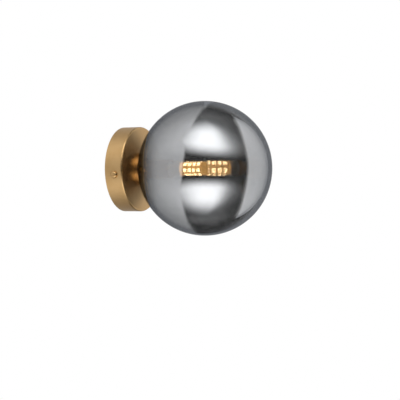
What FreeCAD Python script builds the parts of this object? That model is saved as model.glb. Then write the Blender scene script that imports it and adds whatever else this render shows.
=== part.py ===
"""Globe wall sconce: a satin brass canopy on a wall plate, a smoked mirror glass globe that screws
into a brass cup by its threaded neck, and a plug-in lamp on a two-slot ceramic lampholder.

Frame: millimetres, +Z up. The origin is the middle of the wall face, and the lamp reaches out along -Y.
Every piece is drawn upright, with its own +Z as the reach from the wall and its own +Y as up, and is
then laid down by LAID, so that reach runs along -Y.
"""

import FreeCAD
import Part
import Sketcher
import math
import os

doc = FreeCAD.newDocument("GlobeSconce")
sheet = doc.addObject("Spreadsheet::Sheet", "Sizes")

DRIVING = {
    # canopy: the brass cup against the wall
    "canopy_radius": 45.0,
    "canopy_depth": 20.0,
    "canopy_wall": 1.2,
    "canopy_edge_round": 1.5,
    # round wall plate with two bent ears
    "plate_thickness": 1.5,
    "plate_clearance": 2.8,
    "ear_width": 14.0,
    "ear_turn": 8.5,
    "ear_height": 15.0,
    "ear_setback": 0.8,
    "wall_slot_spacing": 60.0,
    "wall_slot_radius": 2.25,
    "wall_slot_length": 9.0,
    "cable_hole_radius": 15.0,
    # side screws that hold the canopy on the plate's ears
    "side_screw_radius": 1.95,
    "side_screw_length": 9.0,
    "side_screw_height": 10.6,
    "side_screw_head_radius": 3.8,
    "side_screw_head_height": 2.4,
    "side_screw_slot_width": 0.8,
    "side_screw_slot_depth": 0.6,
    "side_hole_clearance": 0.25,
    # globe of smoked mirror glass
    "globe_radius": 70.0,
    "globe_wall": 2.5,
    "globe_gap": 4.0,
    "neck_clearance": 1.3,
    "neck_wall": 2.2,
    "neck_length": 12.5,
    "neck_round": 0.8,
    "thread_pitch": 4.0,
    "thread_bead_radius": 0.8,
    "thread_bead_sink": 0.05,
    "thread_turns": 1.25,
    "thread_lead_in": 2.8,
    "thread_seat_turn": 30.0,
    "groove_turn": 12.0,
    "thread_clearance": 0.35,
    "groove_floor_width": 1.0,
    "groove_flare": 0.4,
    "groove_mouth": 1.0,
    # socket cup that takes the neck
    "cup_wall": 1.5,
    "cup_flange_overhang": 1.3,
    "cup_flange_height": 3.4,
    "cup_depth": 11.9,
    "cup_floor_thickness": 1.5,
    "cup_bore_clearance": 0.35,
    "ring_nut_thickness": 3.0,
    "ring_nut_margin": 3.85,
    "seal_inset": 0.35,
    "seal_gap": 0.03,
    # hollow threaded nipple and its nuts
    "nipple_radius": 5.0,
    "nipple_bore": 3.4,
    "nipple_stand_out": 0.5,
    "nipple_edge_round": 0.3,
    "nut_thickness": 2.5,
    "nut_flats": 14.0,
    "washer_thickness": 0.8,
    "washer_radius": 8.6,
    "washer_teeth": 10,
    # brass sleeve and the ceramic lampholder inside it
    "sleeve_clearance": 0.15,
    "sleeve_wall": 0.8,
    "sleeve_floor": 1.2,
    "sleeve_overhang": 1.5,
    "holder_margin": 1.05,
    "holder_length": 20.0,
    "holder_edge_round": 0.6,
    "cap_stand_off": 7.3,
    "cap_length": 10.5,
    "cap_floor": 3.0,
    "cap_wall": 1.0,
    "pin_spacing": 9.0,
    "pin_slot_width": 4.6,
    "pin_slot_height": 2.6,
    "pin_slot_floor": 4.5,
    "contact_thickness": 0.3,
    "contact_length": 9.0,
    "contact_side_gap": 0.2,
    # plug-in lamp
    "lamp_pin_radius": 0.5,
    "lamp_pin_width": 2.8,
    "lamp_pin_length": 13.0,
    "lamp_pin_depth": 3.0,
    "lamp_pin_clearance": 0.02,
    "lamp_base_gap": 0.2,
    "lamp_base_inset": 0.5,
    "lamp_base_height": 9.5,
    "lamp_base_step": 6.0,
    "lamp_base_length": 14.1,
    "lamp_radius": 8.0,
    "lamp_cover_wall": 0.7,
    "lamp_cover_length": 30.7,
    "lamp_cover_round": 4.0,
    "core_front_gap": 2.9,
    "core_sides": 6,
    "core_turn": 17.5,
    "chip_length": 3.3,
    "chip_width": 3.8,
    "chip_height": 0.8,
    "chip_cover_gap": 0.5,
    "chip_pitch": 5.07,
    "chips_per_side": 4,
    # terminal block and earth point
    "pole_spacing": 8.0,
    "pole_count": 3,
    "block_width": 16.0,
    "block_height": 11.0,
    "block_edge_setback": 10.5,
    "block_wall": 1.3,
    "tube_radius": 2.4,
    "tube_bore": 1.5,
    "tube_inset": 1.0,
    "clamp_screw_radius": 1.2,
    "clamp_screw_spacing": 8.0,
    "clamp_screw_sink": 1.0,
    "clamp_well_clearance": 0.5,
    "small_slot_width": 0.5,
    "small_slot_depth": 0.7,
    "block_screw_head_height": 1.3,
    "shank_stand_off": 0.2,
    "earth_point": 20.0,
    "earth_screw_radius": 2.0,
    "earth_head_radius": 3.6,
    "earth_head_height": 2.2,
    "earth_slot_width": 0.9,
    "earth_slot_depth": 0.9,
    "earth_washer_radius": 4.4,
    "earth_washer_thickness": 0.8,
    "earth_washer_teeth": 8,
    "earth_lug_thickness": 0.8,
    "earth_lug_inset": 0.6,
    "earth_barrel_radius": 1.6,
    "earth_barrel_length": 5.0,
    # wires
    "lead_radius": 0.9,
    "lead_bend": 2.2,
    "lead_spread": 1.5,
    "lead_straight": 6.0,
    "lead_fan_out": 1.5,
    "lead_end_gap": 1.5,
    "fit_clearance": 0.05,
}

for row, (alias, number) in enumerate(DRIVING.items(), start=1):
    sheet.set(f"A{row}", alias)
    sheet.set(f"B{row}", str(number))
    sheet.setAlias(f"B{row}", alias)
doc.recompute()


class Size:
    """A length that keeps its number and the sheet formula that it comes from."""

    def __init__(self, number, text):
        self.number = float(number)
        self.text = text

    def __add__(self, other):
        other = as_size(other)
        return Size(self.number + other.number, f"({self.text} + {other.text})")

    def __sub__(self, other):
        other = as_size(other)
        return Size(self.number - other.number, f"({self.text} - {other.text})")

    def __mul__(self, other):
        other = as_size(other)
        return Size(self.number * other.number, f"({self.text} * {other.text})")

    def __truediv__(self, other):
        other = as_size(other)
        return Size(self.number / other.number, f"({self.text} / {other.text})")

    def __neg__(self):
        return Size(-self.number, f"(0 - {self.text})")

    __radd__ = __add__

    def __rsub__(self, other):
        return as_size(other) - self

    __rmul__ = __mul__


def as_size(value):
    return value if isinstance(value, Size) else Size(value, repr(float(value)))


def root(value):
    return Size(math.sqrt(value.number), f"sqrt({value.text})")


def size(alias):
    """The sheet's cell of that name."""
    return Size(sheet.get(alias), f"Sizes.{alias}")


class Sizes:
    """Every cell of the sheet as an attribute."""

    def __getattr__(self, alias):
        return size(alias)


S = Sizes()
ZERO = as_size(0)
LAID = FreeCAD.Placement(FreeCAD.Vector(0, 0, 0), FreeCAD.Rotation(FreeCAD.Vector(1, 0, 0), 90))
TURNED = LAID.multiply(
    FreeCAD.Placement(
        FreeCAD.Vector(0, 0, 0), FreeCAD.Rotation(FreeCAD.Vector(0, 0, 1), S.ear_turn.number)
    )
)

# Distances from the axis, worked out from the lamp outwards: lamp, lampholder, sleeve, neck, cup.
CORE_APOTHEM = S.lamp_radius - S.lamp_cover_wall - S.chip_cover_gap - S.chip_height
HOLDER_RADIUS = S.lamp_radius + S.holder_margin
SLEEVE_INSIDE = HOLDER_RADIUS + S.sleeve_clearance
SLEEVE_RADIUS = SLEEVE_INSIDE + S.sleeve_wall
NECK_BORE = SLEEVE_RADIUS + S.neck_clearance
NECK_RADIUS = NECK_BORE + S.neck_wall
CUP_BORE = NECK_RADIUS + S.cup_bore_clearance
THREAD_GROOVE = NECK_RADIUS + S.thread_bead_radius + S.thread_clearance
CUP_RADIUS = THREAD_GROOVE + S.cup_wall
RING_NUT_FLATS = (CUP_RADIUS + S.ring_nut_margin) * 2
NIPPLE_HOLE = S.nipple_radius + S.fit_clearance
PLATE_RADIUS = S.canopy_radius - S.canopy_wall - S.plate_clearance
BLOCK_UP = PLATE_RADIUS - S.block_edge_setback
BLOCK_LOW = BLOCK_UP - S.block_width / 2

# Reaches from the wall.
CANOPY_INSIDE = S.canopy_depth - S.canopy_wall
GLOBE_CENTRE = S.canopy_depth + S.globe_gap + S.globe_radius
NECK_ROOT = GLOBE_CENTRE - root(S.globe_radius * S.globe_radius - NECK_RADIUS * NECK_RADIUS)
NECK_END = NECK_ROOT - S.neck_length
CUP_FRONT = S.canopy_depth + S.cup_flange_height
CUP_INSIDE = CUP_FRONT - S.cup_depth
CUP_FLOOR = CUP_INSIDE - S.cup_floor_thickness
THREAD_START = NECK_END + S.thread_lead_in
NIPPLE_REAR = CUP_FLOOR - S.washer_thickness - S.nut_thickness - S.nipple_stand_out
CAP_REAR = CUP_INSIDE + S.sleeve_floor + S.nut_thickness + S.cap_stand_off
NIPPLE_FRONT = CAP_REAR + S.cap_floor + S.nipple_stand_out
HOLDER_REAR = CAP_REAR + S.cap_length
HOLDER_FRONT = HOLDER_REAR + S.holder_length
SLEEVE_FRONT = HOLDER_FRONT + S.sleeve_overhang
LAMP_SEAT = HOLDER_FRONT + S.lamp_base_gap
LAMP_COVER_REAR = LAMP_SEAT + S.lamp_base_length
CORE_LENGTH = S.lamp_cover_length - S.core_front_gap
PIN_SLOT_END = HOLDER_REAR + S.pin_slot_floor
TUBE_REACH = S.plate_thickness + S.block_wall + S.tube_radius

made = []


def body(label, placement=LAID):
    """An empty body that becomes one node."""
    piece = doc.addObject("PartDesign::Body", label)
    piece.Label = label
    piece.AllowCompound = True
    piece.Placement = placement
    made.append(piece)
    return piece


def plane(piece, role):
    return next(f for f in piece.Origin.OriginFeatures if f.Role == role)


def sketch_on(piece, role, name, offset=None, turn=None):
    """A sketch on one of the body's own planes, set off along the plane's normal.

    turn is an axis of the sketch and the angle by which the sketch is turned about it.
    """
    drawing = piece.newObject("Sketcher::SketchObject", name)
    drawing.AttachmentSupport = (plane(piece, role), [""])
    drawing.MapMode = "FlatFace"
    if turn is not None:
        axis, angle = turn
        drawing.AttachmentOffset = FreeCAD.Placement(
            FreeCAD.Vector(0, 0, 0), FreeCAD.Rotation(FreeCAD.Vector(*axis), angle.number)
        )
        drawing.setExpression("AttachmentOffset.Rotation.Angle", angle.text)
    if offset is not None:
        drawing.setExpression("AttachmentOffset.Base.z", offset.text)
    return drawing


def fix_point(drawing, edge, end, across, up):
    """Holds one end of an edge at two sizes measured from the sketch's origin."""
    for kind, axis, value in (("DistanceX", -2, across), ("DistanceY", -1, up)):
        if value.text == ZERO.text:
            drawing.addConstraint(Sketcher.Constraint("PointOnObject", edge, end, axis))
            continue
        index = drawing.addConstraint(Sketcher.Constraint(kind, -1, 1, edge, end, value.number))
        drawing.setExpression(f"Constraints[{index}]", value.text)


def draw_outline(drawing, corners):
    """A closed outline of straight edges through corners of sizes."""
    corners = [(as_size(a), as_size(b)) for a, b in corners]
    points = [FreeCAD.Vector(a.number, b.number, 0) for a, b in corners]
    first = drawing.GeometryCount
    count = len(points)
    for i in range(count):
        drawing.addGeometry(Part.LineSegment(points[i], points[(i + 1) % count]))
    for i in range(count):
        drawing.addConstraint(Sketcher.Constraint("Coincident", first + i, 2, first + (i + 1) % count, 1))
    for i, (across, up) in enumerate(corners):
        fix_point(drawing, first + i, 1, across, up)


def draw_circle(drawing, across, up, radius):
    across, up = as_size(across), as_size(up)
    circle = drawing.addGeometry(
        Part.Circle(FreeCAD.Vector(across.number, up.number, 0), FreeCAD.Vector(0, 0, 1), radius.number)
    )
    index = drawing.addConstraint(Sketcher.Constraint("Radius", circle, radius.number))
    drawing.setExpression(f"Constraints[{index}]", radius.text)
    fix_point(drawing, circle, 3, across, up)


def rectangle(left, right, low, high):
    return [(left, low), (right, low), (right, high), (left, high)]


def turned(label, corners, placement=LAID):
    """A piece turned on a lathe: corners are (radius, reach), spun about the piece's own Z."""
    piece = body(label, placement)
    drawing = sketch_on(piece, "XZ_Plane", label + "_outline")
    draw_outline(drawing, corners)
    spin(piece, drawing, label)
    return piece


def spin(piece, drawing, label):
    feature = piece.newObject("PartDesign::Revolution", label + "_turn")
    feature.Profile = drawing
    feature.ReferenceAxis = (drawing, ["V_Axis"])
    feature.Angle = 360.0
    doc.recompute()
    return feature


def pad(piece, drawing, name, length, both_ways=False):
    feature = piece.newObject("PartDesign::Pad", name)
    feature.Profile = drawing
    feature.Midplane = both_ways
    feature.setExpression("Length", length.text)
    doc.recompute()
    return feature


def cut(piece, drawing, name, length=None, both_ways=False, reversed_way=False):
    """A pocket of a stated depth, or through everything both ways. It has to take something away."""
    before = piece.Shape.Volume
    feature = piece.newObject("PartDesign::Pocket", name)
    feature.Profile = drawing
    if both_ways:
        feature.Type = "ThroughAll"
        feature.Midplane = True
    else:
        feature.setExpression("Length", length.text)
        feature.Reversed = reversed_way
    doc.recompute()
    if piece.Shape.Volume >= before:
        raise RuntimeError(f"{name} cuts nothing")
    return feature


def round_edges(piece, name, radius, wanted):
    """Rounds the edges of the body's tip that wanted picks out, in the body's own frame."""
    tip = piece.Tip
    names = [f"Edge{i}" for i, edge in enumerate(tip.Shape.Edges, start=1) if wanted(edge)]
    if not names:
        raise RuntimeError(f"{name} finds no edge")
    feature = piece.newObject("PartDesign::Fillet", name)
    feature.Base = (tip, names)
    feature.setExpression("Radius", radius.text)
    doc.recompute()
    return feature


def ring_at(radius, reach, slack=0.02):
    """Picks a full circle of that radius at that reach."""

    def wanted(edge):
        if edge.Degenerated:
            return False
        curve = edge.Curve
        return (
            isinstance(curve, Part.Circle)
            and abs(curve.Radius - radius.number) < slack
            and abs(curve.Center.z - reach.number) < slack
        )

    return wanted


def hexagon(flats):
    """Six corners about the origin, with two flats facing up and down."""
    half = flats / 2
    corner = half * (2 / math.sqrt(3))
    side = corner / 2
    return [(corner, ZERO), (side, half), (-side, half), (-corner, ZERO), (-side, -half), (side, -half)]


def hex_nut(label, flats, bore, rear, thickness):
    piece = body(label)
    drawing = sketch_on(piece, "XY_Plane", label + "_hexagon", rear)
    draw_outline(drawing, hexagon(flats))
    draw_circle(drawing, ZERO, ZERO, bore)
    pad(piece, drawing, label + "_blank", thickness)
    return piece


def group(label, solids, placement=LAID):
    """Several alike solids kept as one node, or one swept solid."""
    piece = doc.addObject("Part::Feature", label)
    piece.Label = label
    piece.Shape = solids[0] if len(solids) == 1 else Part.makeCompound(solids)
    piece.Placement = placement
    made.append(piece)
    return piece


def vector(*sizes):
    return FreeCAD.Vector(*(as_size(value).number for value in sizes))


def bent_path(points, bend):
    """Straight runs through the points, joined by tangent arcs of radius bend."""
    edges = []
    start = points[0]
    for before, corner, after in zip(points, points[1:], points[2:]):
        way_in = (corner - before).normalize()
        way_out = (after - corner).normalize()
        turn = way_in.getAngle(way_out)
        trim = bend * math.tan(turn / 2)
        arc_in = corner - way_in * trim
        arc_out = corner + way_out * trim
        inward = (way_out - way_in).normalize()
        centre = corner + inward * (bend / math.cos(turn / 2))
        middle = centre - inward * bend
        edges.append(Part.LineSegment(start, arc_in).toShape())
        edges.append(Part.Arc(arc_in, middle, arc_out).toShape())
        start = arc_out
    edges.append(Part.LineSegment(start, points[-1]).toShape())
    return Part.Wire(edges)


def bent_rod(points, bend, radius):
    """A round rod or wire along a bent path."""
    path = bent_path(points, bend)
    section = Part.Wire([Part.makeCircle(radius, points[0], points[1] - points[0])])
    rod = path.makePipeShell([section], True, False)
    area = math.pi * radius**2
    if abs(rod.Volume - area * path.Length) > 0.02 * rod.Volume:
        raise RuntimeError("a rod's volume doesn't match its path")
    return rod


def make_canopy():
    """The spun brass cup against the wall, open at the back, with the cup's hole and two side holes."""
    hole = CUP_RADIUS + S.fit_clearance
    inside = S.canopy_radius - S.canopy_wall
    piece = turned(
        "canopy",
        [
            (S.canopy_radius, ZERO),
            (S.canopy_radius, S.canopy_depth),
            (hole, S.canopy_depth),
            (hole, CANOPY_INSIDE),
            (inside, CANOPY_INSIDE),
            (inside, ZERO),
        ],
        TURNED,
    )
    round_edges(piece, "canopy_edge", S.canopy_edge_round, ring_at(S.canopy_radius, S.canopy_depth))
    drawing = sketch_on(piece, "YZ_Plane", "canopy_side_holes")
    draw_circle(drawing, ZERO, S.side_screw_height, S.side_screw_radius + S.side_hole_clearance)
    cut(piece, drawing, "canopy_side_cut", both_ways=True)
    return piece


def draw_slot(drawing, across, up, length, radius):
    """A slot along the sketch's x axis, with round ends."""
    reach = length / 2 - radius
    left = across - reach
    right = across + reach
    axis = FreeCAD.Vector(0, 0, 1)
    quarter = math.pi / 2
    ends = []
    for middle, start in ((left, quarter), (right, -quarter)):
        circle = Part.Circle(vector(middle, up, 0), axis, radius.number)
        arc = drawing.addGeometry(Part.ArcOfCircle(circle, start, start + math.pi))
        fix_point(drawing, arc, 3, middle, as_size(up))
        index = drawing.addConstraint(Sketcher.Constraint("Radius", arc, radius.number))
        drawing.setExpression(f"Constraints[{index}]", radius.text)
        ends.append(arc)
    top = drawing.addGeometry(Part.LineSegment(vector(right, up + radius, 0), vector(left, up + radius, 0)))
    low = drawing.addGeometry(Part.LineSegment(vector(left, up - radius, 0), vector(right, up - radius, 0)))
    for line, start, end in ((top, ends[1], ends[0]), (low, ends[0], ends[1])):
        drawing.addConstraint(Sketcher.Constraint("Tangent", line, 1, start, 2))
        drawing.addConstraint(Sketcher.Constraint("Tangent", line, 2, end, 1))


def make_plate():
    """The zinc-plated plate screwed to the wall. Its two bent ears take the canopy's side screws."""
    piece = body("wall_plate")
    drawing = sketch_on(piece, "XY_Plane", "plate_disc")
    draw_circle(drawing, ZERO, ZERO, PLATE_RADIUS)
    pad(piece, drawing, "plate_blank", S.plate_thickness)
    half = S.ear_width / 2
    rim = S.canopy_radius - S.canopy_wall - S.ear_setback
    face = root(rim * rim - half * half)
    inside = face - S.plate_thickness
    for name, start, height in (
        ("ear_tabs", inside - S.plate_thickness * 3, S.plate_thickness),
        ("ear_walls", inside, S.ear_height),
    ):
        drawing = sketch_on(piece, "XY_Plane", name, turn=((0, 0, 1), S.ear_turn))
        draw_outline(drawing, rectangle(start, face, -half, half))
        draw_outline(drawing, rectangle(-face, -start, -half, half))
        pad(piece, drawing, name + "_pad", height)
    holes = sketch_on(piece, "XY_Plane", "wall_slots")
    draw_circle(holes, ZERO, ZERO, S.cable_hole_radius)
    half_spacing = S.wall_slot_spacing / 2
    for side in (-1, 1):
        draw_slot(holes, half_spacing * side, ZERO, S.wall_slot_length, S.wall_slot_radius)
    cut(piece, holes, "wall_slot_cut", both_ways=True)
    taps = sketch_on(piece, "YZ_Plane", "ear_taps", turn=((0, 1, 0), S.ear_turn))
    draw_circle(taps, ZERO, S.side_screw_height, S.side_screw_radius + S.fit_clearance)
    cut(piece, taps, "ear_tap_cut", both_ways=True)
    small = sketch_on(piece, "XY_Plane", "plate_taps")
    draw_circle(small, -S.earth_point, ZERO, S.earth_screw_radius + S.fit_clearance)
    for side in (-1, 1):
        draw_circle(small, S.pole_spacing * side / 2, BLOCK_UP, S.clamp_screw_radius + S.fit_clearance)
    cut(piece, small, "plate_tap_cut", both_ways=True)
    return piece


def make_side_screw(label, side):
    """A domed brass screw with a driver slot. side is 1 for the +X ear and -1 for the -X ear."""
    stand_off = S.canopy_radius
    towards = FreeCAD.Rotation(FreeCAD.Vector(0, 0, 1), FreeCAD.Vector(side, 0, 0))
    seat = FreeCAD.Placement(vector(stand_off * side, 0, S.side_screw_height), towards)
    head = S.side_screw_head_height
    piece = turned(
        label,
        [
            (ZERO, -S.side_screw_length),
            (S.side_screw_radius, -S.side_screw_length),
            (S.side_screw_radius, ZERO),
            (S.side_screw_head_radius, ZERO),
            (S.side_screw_head_radius, head),
            (ZERO, head),
        ],
        TURNED.multiply(seat),
    )
    round_edges(piece, label + "_dome", head * 0.85, ring_at(S.side_screw_head_radius, head))
    slot = sketch_on(piece, "XY_Plane", label + "_slot", head - S.side_screw_slot_depth)
    half_slot = S.side_screw_slot_width / 2
    reach = S.side_screw_head_radius * 1.2
    draw_outline(slot, rectangle(-reach, reach, -half_slot, half_slot))
    cut(piece, slot, label + "_slot_cut", S.side_screw_slot_depth * 1.5, reversed_way=True)
    return piece


def wind(piece, drawing, kind, name, turns):
    """A bead added, or a groove cut, along the neck's thread."""
    feature = piece.newObject(f"PartDesign::{kind}Helix", name)
    feature.Profile = drawing
    feature.ReferenceAxis = (drawing, ["V_Axis"])
    feature.Mode = "pitch-turns-angle"
    feature.setExpression("Pitch", S.thread_pitch.text)
    feature.setExpression("Turns", turns.text)
    doc.recompute()
    return feature


def make_cup():
    """The brass cup that takes the globe's neck, with the thread's groove in its bore."""
    piece = turned(
        "socket_cup",
        [
            (CUP_BORE, CUP_FRONT),
            (CUP_RADIUS + S.cup_flange_overhang, CUP_FRONT),
            (CUP_RADIUS + S.cup_flange_overhang, S.canopy_depth),
            (CUP_RADIUS, S.canopy_depth),
            (CUP_RADIUS, CUP_FLOOR),
            (NIPPLE_HOLE, CUP_FLOOR),
            (NIPPLE_HOLE, CUP_INSIDE),
            (CUP_BORE, CUP_INSIDE),
        ],
    )
    groove = S.thread_bead_radius + S.thread_clearance
    drawing = sketch_on(piece, "XZ_Plane", "cup_groove", turn=((0, 1, 0), S.groove_turn))
    mouth = CUP_BORE - S.groove_mouth
    half_floor = S.groove_floor_width / 2
    half_mouth = groove + S.groove_flare
    draw_outline(
        drawing,
        [
            (mouth, THREAD_START - half_mouth),
            (THREAD_GROOVE, THREAD_START - half_floor),
            (THREAD_GROOVE, THREAD_START + half_floor),
            (mouth, THREAD_START + half_mouth),
        ],
    )
    rise = CUP_FRONT + groove * 2 - THREAD_START
    before = piece.Shape.Volume
    wind(piece, drawing, "Subtractive", "cup_thread", rise / S.thread_pitch)
    if piece.Shape.Volume >= before:
        raise RuntimeError("the cup's thread cuts nothing")
    return piece


def make_globe():
    """The blown globe: two spheres about one centre, drawn in to a straight neck with a moulded thread."""
    piece = body("globe")
    drawing = sketch_on(piece, "XZ_Plane", "globe_outline")
    outer = S.globe_radius
    inner = S.globe_radius - S.globe_wall
    inner_root = GLOBE_CENTRE - root(inner * inner - NECK_BORE * NECK_BORE)
    centre = FreeCAD.Vector(0, GLOBE_CENTRE.number, 0)
    axis = FreeCAD.Vector(0, 0, 1)

    def angle(across, up):
        return math.atan2(up.number - GLOBE_CENTRE.number, across.number)

    outer_arc = drawing.addGeometry(
        Part.ArcOfCircle(Part.Circle(centre, axis, outer.number), angle(NECK_RADIUS, NECK_ROOT), math.pi / 2)
    )
    inner_arc = drawing.addGeometry(
        Part.ArcOfCircle(Part.Circle(centre, axis, inner.number), angle(NECK_BORE, inner_root), math.pi / 2)
    )
    corners = [
        (ZERO, GLOBE_CENTRE + outer),
        (ZERO, GLOBE_CENTRE + inner),
        (NECK_BORE, inner_root),
        (NECK_BORE, NECK_END),
        (NECK_RADIUS, NECK_END),
        (NECK_RADIUS, NECK_ROOT),
    ]
    spots = [vector(a, b, 0) for a, b in corners]
    pole = drawing.addGeometry(Part.LineSegment(spots[0], spots[1]))
    neck_inside = drawing.addGeometry(Part.LineSegment(spots[2], spots[3]))
    lip = drawing.addGeometry(Part.LineSegment(spots[3], spots[4]))
    neck_outside = drawing.addGeometry(Part.LineSegment(spots[4], spots[5]))
    for a, end_a, b, end_b in (
        (pole, 1, outer_arc, 2),
        (pole, 2, inner_arc, 2),
        (inner_arc, 1, neck_inside, 1),
        (neck_inside, 2, lip, 1),
        (lip, 2, neck_outside, 1),
        (neck_outside, 2, outer_arc, 1),
    ):
        drawing.addConstraint(Sketcher.Constraint("Coincident", a, end_a, b, end_b))
    drawing.addConstraint(Sketcher.Constraint("Coincident", outer_arc, 3, inner_arc, 3))
    drawing.addConstraint(Sketcher.Constraint("Vertical", neck_inside))
    drawing.addConstraint(Sketcher.Constraint("Vertical", neck_outside))
    drawing.addConstraint(Sketcher.Constraint("Vertical", pole))
    fix_point(drawing, outer_arc, 3, ZERO, GLOBE_CENTRE)
    fix_point(drawing, lip, 1, NECK_BORE, NECK_END)
    fix_point(drawing, lip, 2, NECK_RADIUS, NECK_END)
    for arc, radius in ((outer_arc, outer), (inner_arc, inner)):
        index = drawing.addConstraint(Sketcher.Constraint("Radius", arc, radius.number))
        drawing.setExpression(f"Constraints[{index}]", radius.text)
    spin(piece, drawing, "globe")
    round_edges(piece, "globe_shoulder", S.neck_round, ring_at(NECK_RADIUS, NECK_ROOT))
    start = THREAD_START + S.thread_pitch * S.thread_seat_turn / 360
    angle = S.groove_turn + S.thread_seat_turn
    bead = sketch_on(piece, "XZ_Plane", "globe_bead", turn=((0, 1, 0), angle))
    draw_circle(bead, NECK_RADIUS - S.thread_bead_sink, start, S.thread_bead_radius)
    wind(piece, bead, "Additive", "globe_thread", S.thread_turns)
    return piece


def make_seal():
    """The dark silicone ring between the cup's rim and the back of the globe."""
    inner = NECK_RADIUS + S.thread_bead_radius + S.seal_inset
    outer = CUP_RADIUS + S.cup_flange_overhang - S.seal_inset

    def glass_back(radius):
        return GLOBE_CENTRE - root(S.globe_radius * S.globe_radius - radius * radius) - S.seal_gap

    return turned(
        "globe_seal",
        [(inner, CUP_FRONT), (outer, CUP_FRONT), (outer, glass_back(outer)), (inner, glass_back(inner))],
    )


def make_ring_nut():
    """The flat nut that clamps the cup's flange to the canopy's face from behind."""
    rear = CANOPY_INSIDE - S.ring_nut_thickness
    return hex_nut("cup_ring_nut", RING_NUT_FLATS, CUP_RADIUS + S.fit_clearance, rear, S.ring_nut_thickness)


def make_nipple():
    """The hollow threaded tube through the cup, the sleeve and the lampholder's cap."""
    outer = S.nipple_radius
    bore = S.nipple_bore
    rear = NIPPLE_REAR
    front = NIPPLE_FRONT
    piece = turned("nipple", [(bore, rear), (outer, rear), (outer, front), (bore, front)])
    for name, reach in (("nipple_rear_edge", rear), ("nipple_front_edge", front)):
        round_edges(piece, name, S.nipple_edge_round, ring_at(outer, reach))
    return piece


def make_nipple_nuts():
    """Two alike hexagon nuts: one behind the cup, one on the floor of the sleeve."""
    rear = CUP_FLOOR - S.washer_thickness - S.nut_thickness
    piece = hex_nut("nipple_nuts", S.nut_flats, NIPPLE_HOLE, rear, S.nut_thickness)
    front = CUP_INSIDE + S.sleeve_floor
    drawing = sketch_on(piece, "XY_Plane", "front_nut_hexagon", front)
    draw_outline(drawing, hexagon(S.nut_flats))
    draw_circle(drawing, ZERO, ZERO, NIPPLE_HOLE)
    pad(piece, drawing, "front_nut_blank", S.nut_thickness)
    return piece


def make_nipple_washer():
    """The toothed washer between the rear nut and the cup's floor."""
    rear = CUP_FLOOR - S.washer_thickness
    outer = S.washer_radius
    piece = turned(
        "nipple_washer",
        [(NIPPLE_HOLE, rear), (outer, rear), (outer, CUP_FLOOR), (NIPPLE_HOLE, CUP_FLOOR)],
    )
    teeth = sketch_on(piece, "XY_Plane", "washer_tooth_gaps", rear)
    count = int(S.washer_teeth.number)
    for step in range(count):
        turn = 2 * math.pi * step / count
        draw_circle(teeth, outer * math.cos(turn), outer * math.sin(turn), outer / count)
    cut(piece, teeth, "washer_teeth_cut", both_ways=True)
    return piece


def make_sleeve():
    """The thin brass tube round the lampholder, closed behind but for the nipple's hole."""
    floor = CUP_INSIDE + S.sleeve_floor
    piece = turned(
        "holder_sleeve",
        [
            (NIPPLE_HOLE, CUP_INSIDE),
            (SLEEVE_RADIUS, CUP_INSIDE),
            (SLEEVE_RADIUS, SLEEVE_FRONT),
            (SLEEVE_INSIDE, SLEEVE_FRONT),
            (SLEEVE_INSIDE, floor),
            (NIPPLE_HOLE, floor),
        ],
    )
    round_edges(piece, "sleeve_lip", S.sleeve_wall * 0.45, ring_at(SLEEVE_RADIUS, SLEEVE_FRONT))
    return piece


def make_holder_cap():
    """The ceramic cap screwed on the nipple. Its hollow lets the two wires spread to the contacts."""
    inner = HOLDER_RADIUS - S.cap_wall
    floor = CAP_REAR + S.cap_floor
    return turned(
        "holder_cap",
        [
            (NIPPLE_HOLE, CAP_REAR),
            (HOLDER_RADIUS, CAP_REAR),
            (HOLDER_RADIUS, HOLDER_REAR),
            (inner, HOLDER_REAR),
            (inner, floor),
            (NIPPLE_HOLE, floor),
        ],
    )


def make_holder_body():
    """The ceramic lampholder, with two slots for the lamp's pins and a hole behind each for its wire."""
    piece = turned(
        "holder_body",
        [
            (ZERO, HOLDER_REAR),
            (HOLDER_RADIUS, HOLDER_REAR),
            (HOLDER_RADIUS, HOLDER_FRONT),
            (ZERO, HOLDER_FRONT),
        ],
    )
    round_edges(piece, "holder_face_edge", S.holder_edge_round, ring_at(HOLDER_RADIUS, HOLDER_FRONT))
    slots = sketch_on(piece, "XY_Plane", "pin_slots", PIN_SLOT_END)
    holes = sketch_on(piece, "XY_Plane", "wire_holes", PIN_SLOT_END)
    half_height = S.pin_slot_height / 2
    for side in (-1, 1):
        centre = S.pin_spacing * side / 2
        left = centre - S.pin_slot_width / 2
        right = centre + S.pin_slot_width / 2
        draw_outline(slots, rectangle(left, right, -half_height, half_height))
        draw_circle(holes, centre, ZERO, S.lead_radius + S.fit_clearance)
    cut(piece, slots, "pin_slot_cut", HOLDER_FRONT - PIN_SLOT_END, reversed_way=True)
    cut(piece, holes, "wire_hole_cut", PIN_SLOT_END - HOLDER_REAR)
    return piece


def make_contacts():
    """Two alike spring clips at the bottom of the pin slots, each gripping one pin from both sides."""
    piece = body("holder_contacts")
    thick = S.contact_thickness
    grip = S.lamp_pin_radius + S.fit_clearance
    outside = grip + thick
    front = PIN_SLOT_END + S.contact_length
    floor = PIN_SLOT_END + thick
    clip = [
        (-outside, PIN_SLOT_END),
        (outside, PIN_SLOT_END),
        (outside, front),
        (grip, front),
        (grip, floor),
        (-grip, floor),
        (-grip, front),
        (-outside, front),
    ]
    for name, side in (("left_clip", -1), ("right_clip", 1)):
        drawing = sketch_on(piece, "YZ_Plane", name, S.pin_spacing * side / 2)
        draw_outline(drawing, clip)
        pad(piece, drawing, name + "_pad", S.pin_slot_width - S.contact_side_gap * 2, both_ways=True)
    return piece


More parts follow.
